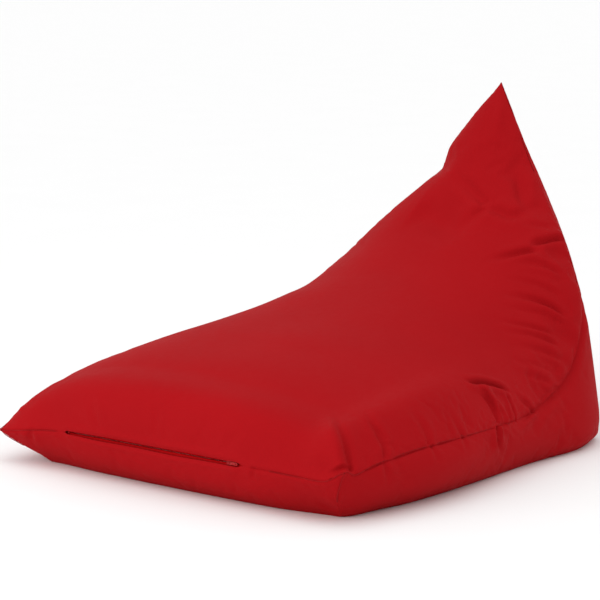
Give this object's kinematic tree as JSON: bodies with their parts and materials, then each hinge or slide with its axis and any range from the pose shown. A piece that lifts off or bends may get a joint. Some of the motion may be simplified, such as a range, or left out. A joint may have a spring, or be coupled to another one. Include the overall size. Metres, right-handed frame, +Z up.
{
  "type": "bean bag lounger",
  "caption": "Pyramid-shaped bean bag lounger with a soft seat, raised pointed backrest, side gussets and a concealed zip in the front seam.",
  "frame": {"origin": "on the floor under the middle of the bag's bounding box", "axes": "+Z up, +Y from the front seam towards the backrest, +X to the sitter's left, symmetric about X = 0 but for the zip"},
  "size_m": [1.1092, 1.2989, 0.8663],
  "materials": {
    "cover_cloth": "smooth matt woven polyester, red",
    "thread": "polyester sewing thread, red",
    "zip_tape": "woven zip tape, dark red",
    "zip_coil": "nylon coil, dark red",
    "slider_metal": "lacquered zinc, dark red",
    "liner_cloth": "plain white non-woven liner",
    "liner_coil": "white nylon coil",
    "beads": "expanded polystyrene beads"
  },
  "bodies": {
    "bag": {"seat_panel": "cover_cloth", "front_band": "cover_cloth", "right_side_panel": "cover_cloth", "left_side_panel": "cover_cloth", "back_panel": "cover_cloth", "base_panel": "cover_cloth", "front_seam": "thread", "right_seat_seam": "thread", "left_seat_seam": "thread", "front_corner_seams": "thread", "right_back_seam": "thread", "left_back_seam": "thread", "base_seam": "thread", "zip_upper_facing": "cover_cloth", "zip_lower_facing": "cover_cloth", "zip_upper_tape": "zip_tape", "zip_lower_tape": "zip_tape", "zip_upper_coil": "zip_coil", "zip_lower_coil": "zip_coil", "zip_top_stops": "slider_metal", "zip_bottom_stop": "slider_metal", "zip_bar_tacks": "thread", "liner_seat": "liner_cloth", "liner_front": "liner_cloth", "liner_right": "liner_cloth", "liner_left": "liner_cloth", "liner_back": "liner_cloth", "liner_base": "liner_cloth", "liner_zip_tapes": "liner_cloth", "liner_zip_coils": "liner_coil", "liner_zip_stops": "liner_coil", "bead_fill": "beads"},
    "zip_slider": {"zip_slider_body": "slider_metal", "zip_slider_crown": "slider_metal"},
    "pull_tab": {"zip_pull_tab": "slider_metal"},
    "liner_slider": {"liner_zip_slider": "slider_metal"}
  },
  "joints": [
    {"name": "zip_slide", "type": "slide", "parent": "bag", "child": "zip_slider", "axis": [-1, 0, 0], "range_m": [0, 0.498]},
    {"name": "pull_tab_flip", "type": "hinge", "parent": "zip_slider", "child": "pull_tab", "pos_m": [0.203, -0.64635, 0.09921], "axis": [0, 0, -1], "range_deg": [0, 150]},
    {"name": "liner_zip_slide", "type": "slide", "parent": "bag", "child": "liner_slider", "axis": [-1, 0, 0], "range_m": [0, 0.43]}
  ]
}
